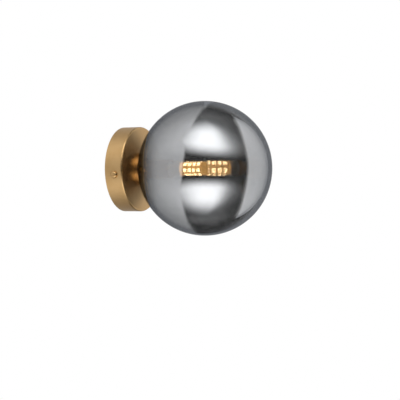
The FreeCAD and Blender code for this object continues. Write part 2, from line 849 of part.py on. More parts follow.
def make_lamp_pins():
    """The lamp's two bent wire loops."""
    bottom = LAMP_SEAT - S.lamp_pin_length + S.lamp_pin_radius
    top = LAMP_SEAT + S.lamp_pin_depth
    half = S.lamp_pin_width / 2 - S.lamp_pin_radius
    loops = []
    for side in (-1, 1):
        centre = S.pin_spacing * side / 2
        points = [
            vector(centre - half, 0, top),
            vector(centre - half, 0, bottom),
            vector(centre + half, 0, bottom),
            vector(centre + half, 0, top),
        ]
        loops.append(bent_rod(points, half.number * 0.8, S.lamp_pin_radius.number))
    return group("lamp_pins", loops)


def make_lamp_base():
    """The lamp's moulded base: a flat foot that grips the pins, and a round collar under the cover."""
    piece = body("lamp_base")
    foot = sketch_on(piece, "XY_Plane", "foot", LAMP_SEAT)
    half_width = S.lamp_radius - S.lamp_base_inset
    half_height = S.lamp_base_height / 2
    draw_outline(foot, rectangle(-half_width, half_width, -half_height, half_height))
    pad(piece, foot, "foot_pad", S.lamp_base_step)
    collar = sketch_on(piece, "XY_Plane", "collar", LAMP_SEAT + S.lamp_base_step)
    draw_circle(collar, ZERO, ZERO, S.lamp_radius)
    pad(piece, collar, "collar_pad", S.lamp_base_length - S.lamp_base_step)
    holes = sketch_on(piece, "XY_Plane", "pin_holes", LAMP_SEAT)
    half = S.lamp_pin_width / 2 - S.lamp_pin_radius
    for side in (-1, 1):
        for leg in (-1, 1):
            centre = S.pin_spacing * side / 2 + half * leg
            draw_circle(holes, centre, ZERO, S.lamp_pin_radius + S.lamp_pin_clearance)
    cut(piece, holes, "pin_hole_cut", S.lamp_pin_depth, reversed_way=True)
    return piece


def core_turns():
    """The turn of each flat of the lamp's core, in degrees about the axis."""
    count = int(S.core_sides.number)
    return [S.core_turn.number + 360 * i / count for i in range(count)]


def make_lamp_core():
    """The many-sided carrier inside the lamp. One flat is turned core_turn up from the side."""
    piece = body("lamp_core")
    drawing = sketch_on(piece, "XY_Plane", "core_section", LAMP_COVER_REAR)
    count = int(S.core_sides.number)
    corner = CORE_APOTHEM * (1 / math.cos(math.pi / count))
    corners = []
    for turn in core_turns():
        angle = math.radians(turn) + math.pi / count
        corners.append((corner * math.cos(angle), corner * math.sin(angle)))
    draw_outline(drawing, corners)
    pad(piece, drawing, "core_pad", CORE_LENGTH)
    return piece


def make_lamp_chips():
    """The alike light-emitting chips on the flats of the core, as one node."""
    length = S.chip_length.number
    width = S.chip_width.number
    height = S.chip_height.number
    count = int(S.chips_per_side.number)
    span = (count - 1) * S.chip_pitch.number
    middle = LAMP_COVER_REAR.number + CORE_LENGTH.number / 2
    chips = []
    for turn in core_turns():
        for i in range(count):
            reach = middle - span / 2 + i * S.chip_pitch.number
            corner = FreeCAD.Vector(CORE_APOTHEM.number, -width / 2, reach - length / 2)
            chip = Part.makeBox(height, width, length, corner)
            chip.rotate(FreeCAD.Vector(0, 0, 0), FreeCAD.Vector(0, 0, 1), turn)
            chips.append(chip)
    return group("lamp_chips", chips)


def make_lamp_cover():
    """The clear cover over the chips, a tube with a rounded closed end."""
    outer = S.lamp_radius
    wall = S.lamp_cover_wall
    inner = outer - wall
    front = LAMP_COVER_REAR + S.lamp_cover_length
    piece = turned(
        "lamp_cover",
        [
            (inner, LAMP_COVER_REAR),
            (outer, LAMP_COVER_REAR),
            (outer, front),
            (ZERO, front),
            (ZERO, front - wall),
            (inner, front - wall),
        ],
    )
    round_edges(piece, "cover_outside", S.lamp_cover_round, ring_at(outer, front))
    round_edges(piece, "cover_inside", S.lamp_cover_round - wall, ring_at(inner, front - wall))
    return piece


def pole_across(index):
    """Where a pole of the terminal block is across: the first is the earth."""
    return S.pole_spacing * index - S.pole_spacing * (S.pole_count - 1) / 2


def poles():
    return range(int(S.pole_count.number))


def clamp_spots():
    """The middle of every clamping screw, across and up."""
    spots = []
    for index in poles():
        for side in (-1, 1):
            spots.append((pole_across(index), BLOCK_UP + S.clamp_screw_spacing * side / 2))
    return spots


def make_terminal_block():
    """The block of three poles: a channel along each pole, and a well over each clamping screw."""
    piece = body("terminal_block")
    drawing = sketch_on(piece, "XY_Plane", "block_face", S.plate_thickness)
    half_length = S.pole_spacing * S.pole_count / 2
    low = BLOCK_LOW
    high = BLOCK_UP + S.block_width / 2
    draw_outline(drawing, rectangle(-half_length, half_length, low, high))
    pad(piece, drawing, "block_pad", S.block_height)
    channels = sketch_on(piece, "XZ_Plane", "block_channels")
    for index in poles():
        draw_circle(channels, pole_across(index), TUBE_REACH, S.tube_radius + S.fit_clearance)
    cut(piece, channels, "block_channel_cut", both_ways=True)
    wells = sketch_on(piece, "XY_Plane", "block_wells", TUBE_REACH)
    for across, up in clamp_spots():
        draw_circle(wells, across, up, S.clamp_screw_radius + S.clamp_well_clearance)
    cut(piece, wells, "block_well_cut", S.block_height, reversed_way=True)
    fixing = sketch_on(piece, "XY_Plane", "block_fixing_holes", S.plate_thickness)
    seats = sketch_on(piece, "XY_Plane", "block_fixing_seats", TUBE_REACH + S.tube_radius)
    for side in (-1, 1):
        across = S.pole_spacing * side / 2
        draw_circle(fixing, across, BLOCK_UP, S.clamp_screw_radius + S.fit_clearance)
        draw_circle(seats, across, BLOCK_UP, S.clamp_screw_radius * 2)
    cut(piece, fixing, "block_fixing_cut", S.block_height, reversed_way=True)
    cut(piece, seats, "block_seat_cut", S.block_height, reversed_way=True)
    return piece


def make_terminal_tubes():
    """The alike brass tubes of the block, with a tapped hole under each clamping screw."""
    piece = body("terminal_tubes")
    drawing = sketch_on(piece, "XZ_Plane", "tube_section", -BLOCK_UP)
    for index in poles():
        across = pole_across(index)
        draw_circle(drawing, across, TUBE_REACH, S.tube_radius)
        draw_circle(drawing, across, TUBE_REACH, S.tube_bore)
    pad(piece, drawing, "tube_pad", S.block_width - S.tube_inset * 2, both_ways=True)
    taps = sketch_on(piece, "XY_Plane", "tube_taps", TUBE_REACH)
    for across, up in clamp_spots():
        draw_circle(taps, across, up, S.clamp_screw_radius + S.fit_clearance)
    cut(piece, taps, "tube_tap_cut", S.tube_radius * 1.5, reversed_way=True)
    return piece


def make_terminal_screws():
    """The alike clamping screws, screwed down on the wires."""
    piece = body("terminal_screws")
    tip = TUBE_REACH + S.lead_radius + S.fit_clearance
    top = S.plate_thickness + S.block_height - S.clamp_screw_sink
    drawing = sketch_on(piece, "XY_Plane", "clamp_shanks", tip)
    slots = sketch_on(piece, "XY_Plane", "clamp_slots", top - S.small_slot_depth)
    reach = S.clamp_screw_radius * 1.2
    half_slot = S.small_slot_width / 2
    for across, up in clamp_spots():
        draw_circle(drawing, across, up, S.clamp_screw_radius)
        draw_outline(slots, rectangle(across - reach, across + reach, up - half_slot, up + half_slot))
    pad(piece, drawing, "clamp_shank_pad", top - tip)
    cut(piece, slots, "clamp_slot_cut", S.small_slot_depth * 2, reversed_way=True)
    return piece


def make_block_screws():
    """The two alike screws that hold the block on the plate."""
    piece = body("block_screws")
    seat = TUBE_REACH + S.tube_radius
    shanks = sketch_on(piece, "XY_Plane", "fixing_shanks", S.shank_stand_off)
    heads = sketch_on(piece, "XY_Plane", "fixing_heads", seat)
    head = S.block_screw_head_height
    slots = sketch_on(piece, "XY_Plane", "fixing_slots", seat + head - S.small_slot_depth)
    reach = S.clamp_screw_radius * 2
    half_slot = S.small_slot_width / 2
    for side in (-1, 1):
        across = S.pole_spacing * side / 2
        up = BLOCK_UP
        draw_circle(shanks, across, up, S.clamp_screw_radius)
        draw_circle(heads, across, up, S.clamp_screw_radius * 1.8)
        draw_outline(slots, rectangle(across - reach, across + reach, up - half_slot, up + half_slot))
    pad(piece, shanks, "fixing_shank_pad", seat - S.shank_stand_off)
    pad(piece, heads, "fixing_head_pad", head)
    cut(piece, slots, "fixing_slot_cut", S.small_slot_depth * 2, reversed_way=True)
    return piece


def make_earth_washer():
    """The toothed washer between the plate and the earth lug."""
    rear = S.plate_thickness
    front = rear + S.earth_washer_thickness
    bore = S.earth_screw_radius + S.fit_clearance
    outer = S.earth_washer_radius
    piece = body("earth_washer")
    ring = sketch_on(piece, "XY_Plane", "earth_washer_ring", rear)
    draw_circle(ring, -S.earth_point, ZERO, outer)
    draw_circle(ring, -S.earth_point, ZERO, bore)
    pad(piece, ring, "earth_washer_pad", front - rear)
    teeth = sketch_on(piece, "XY_Plane", "earth_washer_tooth_gaps", rear)
    count = int(S.earth_washer_teeth.number)
    for step in range(count):
        turn = 2 * math.pi * (step + 0.5) / count
        across = outer * math.cos(turn) - S.earth_point
        draw_circle(teeth, across, outer * math.sin(turn), outer / (count + 1))
    cut(piece, teeth, "earth_washer_cut", both_ways=True)
    return piece


def make_earth_lug():
    """The ring terminal, with a barrel that points up and takes the earth wire."""
    piece = body("earth_lug")
    rear = S.plate_thickness + S.earth_washer_thickness
    outer = S.earth_washer_radius - S.earth_lug_inset
    centre = -S.earth_point
    barrel = S.earth_barrel_radius
    barrel_rear = S.earth_washer_radius
    ring = sketch_on(piece, "XY_Plane", "lug_ring", rear)
    draw_circle(ring, centre, ZERO, outer)
    pad(piece, ring, "lug_ring_pad", S.earth_lug_thickness)
    tongue = sketch_on(piece, "XY_Plane", "lug_tongue", rear)
    tongue_end = barrel_rear + S.earth_lug_inset
    draw_outline(tongue, rectangle(centre - barrel, centre + barrel, outer / 2, tongue_end))
    pad(piece, tongue, "lug_tongue_pad", S.earth_lug_thickness)
    tube = sketch_on(piece, "XZ_Plane", "lug_barrel", -barrel_rear - S.earth_barrel_length / 2)
    draw_circle(tube, centre, rear + barrel, barrel)
    draw_circle(tube, centre, rear + barrel, S.lead_radius + S.fit_clearance)
    pad(piece, tube, "lug_barrel_pad", S.earth_barrel_length, both_ways=True)
    hole = sketch_on(piece, "XY_Plane", "lug_hole", rear)
    draw_circle(hole, centre, ZERO, S.earth_screw_radius + S.fit_clearance)
    cut(piece, hole, "lug_hole_cut", both_ways=True)
    return piece


def make_earth_screw():
    """The domed screw that clamps the lug to the plate."""
    piece = body("earth_screw")
    seat = S.plate_thickness + S.earth_washer_thickness + S.earth_lug_thickness
    head = S.earth_head_height
    shank = sketch_on(piece, "XY_Plane", "earth_shank", S.shank_stand_off)
    draw_circle(shank, -S.earth_point, ZERO, S.earth_screw_radius)
    pad(piece, shank, "earth_shank_pad", seat - S.shank_stand_off)
    cap = sketch_on(piece, "XY_Plane", "earth_head", seat)
    draw_circle(cap, -S.earth_point, ZERO, S.earth_head_radius)
    pad(piece, cap, "earth_head_pad", head)
    round_edges(piece, "earth_dome", head * 0.6, ring_at(S.earth_head_radius, seat + head))
    slot = sketch_on(piece, "XY_Plane", "earth_slot", seat + head - S.earth_slot_depth)
    reach = S.earth_head_radius * 0.65
    half_slot = S.earth_slot_width / 2
    draw_outline(slot, rectangle(-S.earth_point - reach, -S.earth_point + reach, -half_slot, half_slot))
    cut(piece, slot, "earth_slot_cut", S.earth_slot_depth * 1.5, reversed_way=True)
    return piece


def make_leads():
    """The two wires from the contacts, through the nipple, to their poles of the terminal block."""
    turn_reach = NIPPLE_REAR - S.lead_bend
    wire_end = BLOCK_UP - S.lead_end_gap
    for label, side, pole in (("lead_live", -1, 1), ("lead_neutral", 1, 2)):
        contact = S.pin_spacing * side / 2
        inside = S.lead_spread * side
        across = pole_across(pole)
        points = [
            vector(contact, 0, PIN_SLOT_END),
            vector(contact, 0, HOLDER_REAR - S.lead_fan_out),
            vector(inside, 0, NIPPLE_FRONT + S.lead_fan_out),
            vector(inside, 0, turn_reach),
            vector(across, BLOCK_LOW - S.lead_straight, TUBE_REACH),
            vector(across, wire_end, TUBE_REACH),
        ]
        group(label, [bent_rod(points, S.lead_bend.number, S.lead_radius.number)])


def make_earth_lead():
    """The earth wire from its pole of the terminal block to the lug on the plate."""
    across = pole_across(0)
    barrel_reach = S.plate_thickness + S.earth_washer_thickness + S.earth_barrel_radius
    barrel_rear = S.earth_washer_radius
    points = [
        vector(across, BLOCK_UP - S.lead_end_gap, TUBE_REACH),
        vector(across, BLOCK_LOW - S.lead_straight / 2, TUBE_REACH),
        vector(-S.earth_point, barrel_rear + S.earth_barrel_length + S.lead_bend * 1.8, barrel_reach),
        vector(-S.earth_point, barrel_rear + 1, barrel_reach),
    ]
    group("earth_lead", [bent_rod(points, S.lead_bend.number, S.lead_radius.number)])


def export_pieces():
    """Checks every object and every shape, then writes one STEP file for each piece."""
    doc.recompute()
    failed = [thing.Name for thing in doc.Objects if {"Invalid", "Error"} & set(thing.State)]
    if failed:
        raise RuntimeError(f"failed objects: {failed}")
    for piece in made:
        if piece.Shape.isNull() or not piece.Shape.isValid():
            raise RuntimeError(f"{piece.Label} has no valid shape")
    os.makedirs("parts", exist_ok=True)
    for piece in made:
        piece.Shape.exportStep(f"parts/{piece.Label}.step")
        box = piece.Shape.BoundBox
        size_text = f"{box.XLength:.1f} x {box.YLength:.1f} x {box.ZLength:.1f}"
        count = len(piece.Shape.Solids)
        print(f"{piece.Label}: {count} solids, {piece.Shape.Volume:.1f} mm3, {size_text} mm")


make_plate()
make_canopy()
make_side_screw("side_screw_left", -1)
make_side_screw("side_screw_right", 1)
make_cup()
make_ring_nut()
make_seal()
make_globe()
make_nipple()
make_nipple_nuts()
make_nipple_washer()
make_sleeve()
make_holder_cap()
make_holder_body()
make_contacts()
make_lamp_pins()
make_lamp_base()
make_lamp_core()
make_lamp_chips()
make_lamp_cover()
make_terminal_block()
make_terminal_tubes()
make_terminal_screws()
make_block_screws()
make_earth_washer()
make_earth_lug()
make_earth_screw()
make_leads()
make_earth_lead()
export_pieces()
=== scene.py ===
# %% [markdown]
# # A globe wall light, dressed for a render
#
# The light has three families of surface: satin brass, half-mirrored smoked glass, and the small plain
# parts inside it. The model from CAD gives every rigid shape and its place. This lesson gives each
# surface its finish, adds the small pieces that CAD leaves out, and sets up a studio, because brass and
# mirror glass show nothing but the room around them.

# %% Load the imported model
import math

import bmesh
import bpy
from mathutils import Matrix, Vector


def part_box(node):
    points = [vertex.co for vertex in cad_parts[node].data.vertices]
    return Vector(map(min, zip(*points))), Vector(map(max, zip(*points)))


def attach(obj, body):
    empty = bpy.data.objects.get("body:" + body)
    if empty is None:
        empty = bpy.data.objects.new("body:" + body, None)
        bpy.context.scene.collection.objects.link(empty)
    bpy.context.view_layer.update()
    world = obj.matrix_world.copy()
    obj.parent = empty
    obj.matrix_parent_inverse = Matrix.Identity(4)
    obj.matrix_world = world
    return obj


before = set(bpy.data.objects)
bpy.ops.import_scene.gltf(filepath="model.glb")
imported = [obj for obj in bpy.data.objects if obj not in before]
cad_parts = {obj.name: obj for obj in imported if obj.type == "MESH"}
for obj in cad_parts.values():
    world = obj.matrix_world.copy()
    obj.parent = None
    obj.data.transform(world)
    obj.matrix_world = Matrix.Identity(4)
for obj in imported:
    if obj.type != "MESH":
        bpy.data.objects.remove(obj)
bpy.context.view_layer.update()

# %% [markdown]
# ## Shader maths as Python
#
# A material is a small sum over a surface, such as a base colour plus a little grain. Wiring one node
# for each plus sign by hand is slow to read. The class below wraps a socket, so that a line such as
# `grain * 0.2 + 0.5` adds the Math nodes itself.

# %% Wrap a socket so that Python's operators add Math nodes


class Value:
    """A number, vector or colour that changes over a surface: the output socket of some node."""

    def __init__(self, maker, socket):
        self.maker = maker
        self.socket = socket

    def math(self, operation, *others):
        inputs = dict(enumerate((self, *others)))
        return self.maker.node("ShaderNodeMath", {"operation": operation}, inputs)

    def __add__(self, other):
        return self.math("ADD", other)

    def __sub__(self, other):
        return self.math("SUBTRACT", other)

    def __mul__(self, other):
        return self.math("MULTIPLY", other)

    def __truediv__(self, other):
        return self.math("DIVIDE", other)

    def __pow__(self, other):
        return self.math("POWER", other)

    def __neg__(self):
        return self * -1

    def __rsub__(self, other):
        return -self + other

    def __rtruediv__(self, other):
        return self.maker.node("ShaderNodeMath", {"operation": "DIVIDE"}, {0: other, 1: self})

    __radd__ = __add__
    __rmul__ = __mul__

    def size(self):
        """The number without its sign."""
        return self.math("ABSOLUTE")

    def at_least(self, floor):
        return self.math("MAXIMUM", floor)

    def step(self, low, high):
        """0 below low, 1 above high, and a smooth ramp between."""
        return self.maker.node(
            "ShaderNodeMapRange",
            {"interpolation_type": "SMOOTHSTEP"},
            {"Value": self, "From Min": low, "From Max": high},
        )


print("numbers can be added, multiplied and so on as sockets")

# %% [markdown]
# Every node comes from one method, `node`. A node's settings go in first, because some of them change
# which sockets it has. A socket is found by its name, or by its number where a node has several sockets
# of one name, as the Mix node has. The other methods are short names for the nodes used most.

# %% Add nodes to a tree


class NodeMaker:
    """Adds nodes to one tree, which it empties first."""

    def __init__(self, tree):
        self.tree = tree
        tree.nodes.clear()

    def node(self, kind, settings=None, inputs=None, output=0):
        made = self.tree.nodes.new(kind)
        for name, value in (settings or {}).items():
            setattr(made, name, value)
        for name, value in (inputs or {}).items():
            socket = made.inputs[name]
            if isinstance(value, Value):
                self.tree.links.new(value.socket, socket)
            else:
                socket.default_value = value
        return Value(self, made.outputs[output]) if made.outputs else None

    def place(self):
        """Where a point of the surface is, in the object's own metres."""
        return self.node("ShaderNodeTexCoord", output="Object")

    def parts(self, vector):
        """The three numbers of a vector."""
        split = self.node("ShaderNodeSeparateXYZ", None, {0: vector}).socket.node
        return [Value(self, split.outputs[i]) for i in range(3)]

    def vector(self, operation, *vectors):
        """Vector Math whose result is a vector."""
        settings = {"operation": operation}
        return self.node("ShaderNodeVectorMath", settings, dict(enumerate(vectors)))

    def measure(self, operation, first, second):
        """Vector Math whose result is a number, such as a dot product or a distance."""
        settings = {"operation": operation}
        return self.node("ShaderNodeVectorMath", settings, {0: first, 1: second}, output="Value")

    def stretched(self, vector, scale):
        return self.node("ShaderNodeMapping", None, {0: vector, "Scale": scale})

    def noise(self, vector, scale, detail=2.0, roughness=0.5):
        sockets = {"Vector": vector, "Scale": scale, "Detail": detail, "Roughness": roughness}
        return self.node("ShaderNodeTexNoise", None, sockets)

    def mix(self, factor, first, second):
        """A colour between two colours."""
        sockets = {0: factor, 6: first, 7: second}
        return self.node("ShaderNodeMix", {"data_type": "RGBA"}, sockets, output=2)

    def bump(self, height, strength, distance):
        sockets = {"Height": height, "Strength": strength, "Distance": distance}
        return self.node("ShaderNodeBump", None, sockets)


print("nodes come from one method")

# %% [markdown]
# A material here is one Principled shader. What is the same all over a surface is set on the shader's own
# socket, and what changes over it is linked. A colour is written as the screen shows it, from 0 to 255,
# and turned into the linear numbers that a shader works in.

# %% Start a material, feed it and put it on CAD nodes


def colour(red, green, blue):
    """A display colour of 0 to 255 a channel, as linear numbers."""
    linear = []
    for channel in (red, green, blue):
        share = channel / 255
        linear.append(share / 12.92 if share <= 0.04045 else ((share + 0.055) / 1.055) ** 2.4)
    return (*linear, 1.0)


def surface(name, **constants):
    """A new material with one Principled shader. constants are the sockets that never change: the
    word Base_Color stands for the socket Base Color."""
    material = bpy.data.materials.new(name)
    material.use_nodes = True
    maker = NodeMaker(material.node_tree)
    shader = maker.node("ShaderNodeBsdfPrincipled").socket.node
    for socket, value in constants.items():
        shader.inputs[socket.replace("_", " ")].default_value = value
    maker.node("ShaderNodeOutputMaterial", None, {"Surface": Value(maker, shader.outputs[0])})
    return material, maker, shader


def feed(maker, shader, **links):
    """Links values to the shader's sockets, named as in surface."""
    for socket, value in links.items():
        maker.tree.links.new(value.socket, shader.inputs[socket.replace("_", " ")])


def dress(material, *nodes):
    """Gives CAD nodes their finish. Their meshes stay as they are."""
    for node in nodes:
        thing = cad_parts[node]
        for slot in thing.material_slots:
            slot.material = material
    print(material.name, "on", ", ".join(nodes))


print("materials can be made")

# %% [markdown]
# ## Satin brass
#
# The canopy, the cup, the sleeve and the side screws are spun or turned brass, fine-blasted and
# lacquered, so their highlights have no edge. Two things make that: the roughness is high for a metal,
# and a very fine grain breaks it up. Faint lines from the lathe run round the light's axis. A wider,
# weaker noise stands for the uneven lacquer, and shifts the tone and the roughness a little.

# %% Make the satin brass
BLAST_GRAIN = 5200.0
LATHE_LINES = 2600.0
LACQUER_CLOUD = 46.0
ROUND_THE_AXIS = (0.02, 1.0, 0.02)
BRASS_DARK = colour(196, 157, 104)
BRASS_PALE = colour(207, 170, 118)
BRASS_GLINT = colour(226, 196, 148)
BRASS_ROUGHNESS = 0.27
BRASS_BUMP = (0.22, 0.00006)


def make_satin_brass():
    material, maker, shader = surface("satin_brass", Metallic=1.0)
    place = maker.place()
    grain = maker.noise(place, BLAST_GRAIN, detail=3.0, roughness=0.6)
    cloud = maker.noise(place, LACQUER_CLOUD, detail=3.0, roughness=0.55)
    lathe = maker.noise(maker.stretched(place, ROUND_THE_AXIS), LATHE_LINES)
    warm = maker.mix(cloud.step(0.32, 0.70), BRASS_DARK, BRASS_PALE)
    speckled = maker.mix(grain.step(0.35, 0.75) * 0.35, warm, BRASS_GLINT)
    rough = cloud * 0.10 + grain * 0.08 + BRASS_ROUGHNESS
    height = grain * 0.7 + lathe * 0.3
    feed(maker, shader, Base_Color=speckled, Roughness=rough, Normal=maker.bump(height, *BRASS_BUMP))
    return material


satin_brass = make_satin_brass()
dress(satin_brass, "canopy", "socket_cup", "holder_sleeve", "side_screw_left", "side_screw_right")

# %% [markdown]
# ## Half-mirrored smoked glass
#
# The globe is blown glass with a very thin metal film on its inner face. The film sends back a good part
# of the light and lets little of it through, so the globe shows the room like a mirror, and the lit lamp
# shines through it. A solid glass shader would bend every ray and lose the lamp. Here each face of the
# wall is a thin mirror instead: metal for what it sends back, and Alpha for what it lets through. The
# outer face is weak, the inner one strong, and the distance from the middle of the globe tells them
# apart. The outer face grows stronger towards the globe's outline, as glass does at a low angle.
#
# A mirror shows every fault in a mesh's normals, such as those along the seam of a turned shape, so on
# the ball itself the normal is worked out: it points straight away from the middle.

# %% Work out the ball's own normal
GLOBE_MIDDLE = (0.0, -0.094, 0.0)
GLOBE_RADIUS = 0.070
GLOBE_WALL = 0.0025
OFF_THE_BALL = (0.0002, 0.0003)


def ball_normal(maker, place, from_middle):
    """The ball's own normal on the side that the mesh's normal is, and the mesh's elsewhere."""
    away = maker.vector("NORMALIZE", maker.vector("SUBTRACT", place, GLOBE_MIDDLE))
    spaces = {"vector_type": "VECTOR", "convert_from": "OBJECT", "convert_to": "WORLD"}
    away = maker.node("ShaderNodeVectorTransform", spaces, {0: away})
    meshed = maker.node("ShaderNodeNewGeometry", output="Normal")
    side = maker.measure("DOT_PRODUCT", away, meshed).math("SIGN")
    exact = maker.node("ShaderNodeVectorMath", {"operation": "SCALE"}, {0: away, "Scale": side})
    off_outer = (from_middle - GLOBE_RADIUS).size()
    off_inner = (from_middle - GLOBE_RADIUS + GLOBE_WALL).size()
    on_ball = 1 - off_outer.math("MINIMUM", off_inner).step(*OFF_THE_BALL)
    sockets = {0: on_ball, 4: meshed, 5: exact}
    return maker.node("ShaderNodeMix", {"data_type": "VECTOR"}, sockets, output=1)


print("the ball's normal holds within", OFF_THE_BALL[0], "m of its two faces")

# %% Make the smoked mirror glass
FILM_DARK = colour(173, 176, 180)
FILM_PALE = colour(178, 180, 184)
FILM_INSIDE = colour(243, 243, 242)
FILM_AT_EDGE = colour(170, 172, 176)
OUTER_ALPHA = 0.50
EXTRA_ALPHA_AT_OUTLINE = 0.36
INNER_ALPHA = 0.74
GLASS_ROUGHNESS = 0.030
DUST_ROUGHNESS = 0.015


def make_smoked_glass():
    material, maker, shader = surface("smoked_mirror_glass", Metallic=1.0, Specular_Tint=FILM_AT_EDGE)
    place = maker.place()
    from_middle = maker.measure("DISTANCE", place, GLOBE_MIDDLE)
    half = GLOBE_RADIUS - GLOBE_WALL / 2
    outside = from_middle.step(half - 0.0001, half + 0.0001)
    cloud = maker.noise(place, 18.0)
    film = maker.mix(cloud.step(0.3, 0.7), FILM_DARK, FILM_PALE)
    film = maker.mix(outside, FILM_INSIDE, film)
    outline = maker.node("ShaderNodeLayerWeight", None, {"Blend": 0.5}, output="Facing").step(0.60, 0.78)
    outer = outline * EXTRA_ALPHA_AT_OUTLINE + OUTER_ALPHA
    alpha = outer * outside + (1 - outside) * INNER_ALPHA
    dust = maker.noise(place, 900.0, detail=3.0, roughness=0.6)
    rough = dust.step(0.5, 0.8) * DUST_ROUGHNESS + GLASS_ROUGHNESS
    normal = ball_normal(maker, place, from_middle)
    feed(maker, shader, Base_Color=film, Roughness=rough, Alpha=alpha, Normal=normal)
    return material


smoked_glass = make_smoked_glass()
dress(smoked_glass, "globe")

# %% [markdown]
# ## Plain metals
#
# Behind the canopy and in the lampholder are stamped and turned parts that nobody polishes. Zinc plate
# is pale and slightly blue, with a crystal cloud in it. Bare brass and nickel are smoother. All have
# fine scratches along their height.

# %% Make the plain metals
UPRIGHT_SCRATCHES = (1.0, 1.0, 0.05)


def make_plain_metal(name, dark, pale, rough, cloud_scale):
    material, maker, shader = surface(name, Metallic=1.0)
    place = maker.place()
    cloud = maker.noise(place, cloud_scale, detail=4.0, roughness=0.6)
    scratch = maker.noise(maker.stretched(place, UPRIGHT_SCRATCHES), 3000.0)
    tone = maker.mix(cloud.step(0.35, 0.68), dark, pale)
    rough = cloud * 0.16 + scratch * 0.08 + rough
    feed(maker, shader, Base_Color=tone, Roughness=rough, Normal=maker.bump(scratch, 0.15, 0.00004))
    return material


zinc = make_plain_metal(
    "zinc_steel", colour(176, 180, 184), colour(206, 208, 209), rough=0.22, cloud_scale=210.0
)
bare_brass = make_plain_metal(
    "bare_brass", colour(205, 170, 104), colour(226, 194, 130), rough=0.14, cloud_scale=420.0
)
nickel = make_plain_metal(
    "nickel", colour(196, 192, 184), colour(222, 218, 210), rough=0.12, cloud_scale=420.0
)
dress(zinc, "wall_plate", "cup_ring_nut", "nipple", "nipple_nuts", "nipple_washer")
dress(zinc, "earth_washer", "earth_screw", "block_screws", "terminal_screws")
dress(bare_brass, "terminal_tubes")
dress(nickel, "earth_lug", "holder_contacts", "lamp_pins")

# %% [markdown]
# ## Ceramic, plastics, silicone and wire
#
# These are not metals, so their colour is their own. Each still gets a little variation: unglazed
# ceramic is speckled and slightly pitted, moulded plastic has a faint orange-peel surface, and silicone
# holds dust. One function makes them all from two tones, a roughness and the size of the specks.

# %% Make the plain materials
CLOUD_TO_SPECK = 0.06
PLAIN_BUMP_DEPTH = 0.00005


def make_plain(name, dark, pale, rough, scale, bump=0.1):
    material, maker, shader = surface(name)
    place = maker.place()
    speck = maker.noise(place, scale, detail=4.0, roughness=0.6)
    cloud = maker.noise(place, scale * CLOUD_TO_SPECK)
    tone = maker.mix(speck * 0.6 + cloud * 0.4, dark, pale)
    normal = maker.bump(speck, bump, PLAIN_BUMP_DEPTH)
    feed(maker, shader, Base_Color=tone, Roughness=speck * 0.14 + rough, Normal=normal)
    return material


steatite = make_plain("steatite", colour(214, 206, 188), colour(238, 232, 218), 0.48, 1900.0, bump=0.3)
block_white = make_plain("block_white", colour(220, 219, 213), colour(240, 239, 235), 0.34, 1200.0)
lamp_white = make_plain("lamp_white", colour(222, 216, 204), colour(240, 236, 226), 0.25, 900.0)
silicone = make_plain("silicone", colour(26, 25, 24), colour(38, 36, 34), 0.42, 1500.0, bump=0.2)
wire_brown = make_plain("wire_brown", colour(88, 52, 30), colour(116, 72, 44), 0.33, 700.0)
wire_blue = make_plain("wire_blue", colour(30, 76, 148), colour(50, 104, 178), 0.33, 700.0)
dress(steatite, "holder_body", "holder_cap")
dress(block_white, "terminal_block")
dress(lamp_white, "lamp_base")
dress(silicone, "globe_seal")
dress(wire_brown, "lead_live")
dress(wire_blue, "lead_neutral")

# %% [markdown]
# The earth wire has two colours that wind along it. A stripe that depends on the angle round the wire
# would need the wire's own map, but a slanting band in space cuts a thin wire in the same way.

# %% Make the two-colour earth wire
EARTH_GREEN = colour(70, 132, 50)
EARTH_YELLOW = colour(222, 200, 52)
BAND_RADIANS_A_METRE = 900.0


def make_earth_wire():
    material, maker, shader = surface("wire_earth")
    place = maker.place()
    x, y, z = maker.parts(place)
    level_shade = ((x * 0.8 + z + y * 1.4) * BAND_RADIANS_A_METRE).math("SINE")
    speck = maker.noise(place, 700.0, detail=3.0)
    tone = maker.mix(level_shade.step(-0.15, 0.15), EARTH_GREEN, EARTH_YELLOW)
    feed(maker, shader, Base_Color=tone, Roughness=speck * 0.14 + 0.33)
    return material


dress(make_earth_wire(), "earth_lead")

# %% [markdown]
# ## The lit lamp
#
# The lamp is a faceted carrier with rows of flat light-emitting chips under a clear cover. Each chip is
# a pale frame round a patch of yellow phosphor, which is what glows. The carrier board glows weakly and
# warmly, painted light for the chips' light falling on it, and the cover glows a little too, because
# light scatters in it.

# %% Make the lamp's materials
CHIP_LIGHT = (1.0, 0.77, 0.44, 1.0)
BOARD_LIGHT = (1.0, 0.55, 0.16, 1.0)
COVER_LIGHT = (1.0, 0.68, 0.36, 1.0)
DIM_SHARE = 0.82


def make_glow(name, light, strength, base, rough=0.4, **constants):
    material, maker, shader = surface(name, Emission_Strength=strength, **constants)
    mottle = maker.noise(maker.place(), 1500.0)
    dimmer = tuple(channel * DIM_SHARE for channel in light[:3]) + (1.0,)
    feed(
        maker,
        shader,
        Base_Color=maker.mix(mottle, base, light),
        Emission_Color=maker.mix(mottle.step(0.3, 0.7), dimmer, light),
        Roughness=mottle * 0.1 + rough,
    )
    return material


window_glow = make_glow("chip_window", CHIP_LIGHT, 14.0, colour(250, 224, 150))
chip_glow = make_glow("lit_chip", CHIP_LIGHT, 9.5, colour(250, 234, 196))
# painted light: the board emits nothing itself; its glow stands for the chips' light falling on it
board_glow = make_glow("lamp_board", BOARD_LIGHT, 2.0, colour(206, 176, 112))
cover_glow = make_glow("clear_cover", COVER_LIGHT, 1.6, colour(248, 240, 222), rough=0.08, Alpha=0.08)
dress(chip_glow, "lamp_chips")
dress(board_glow, "lamp_core")
dress(cover_glow, "lamp_cover")

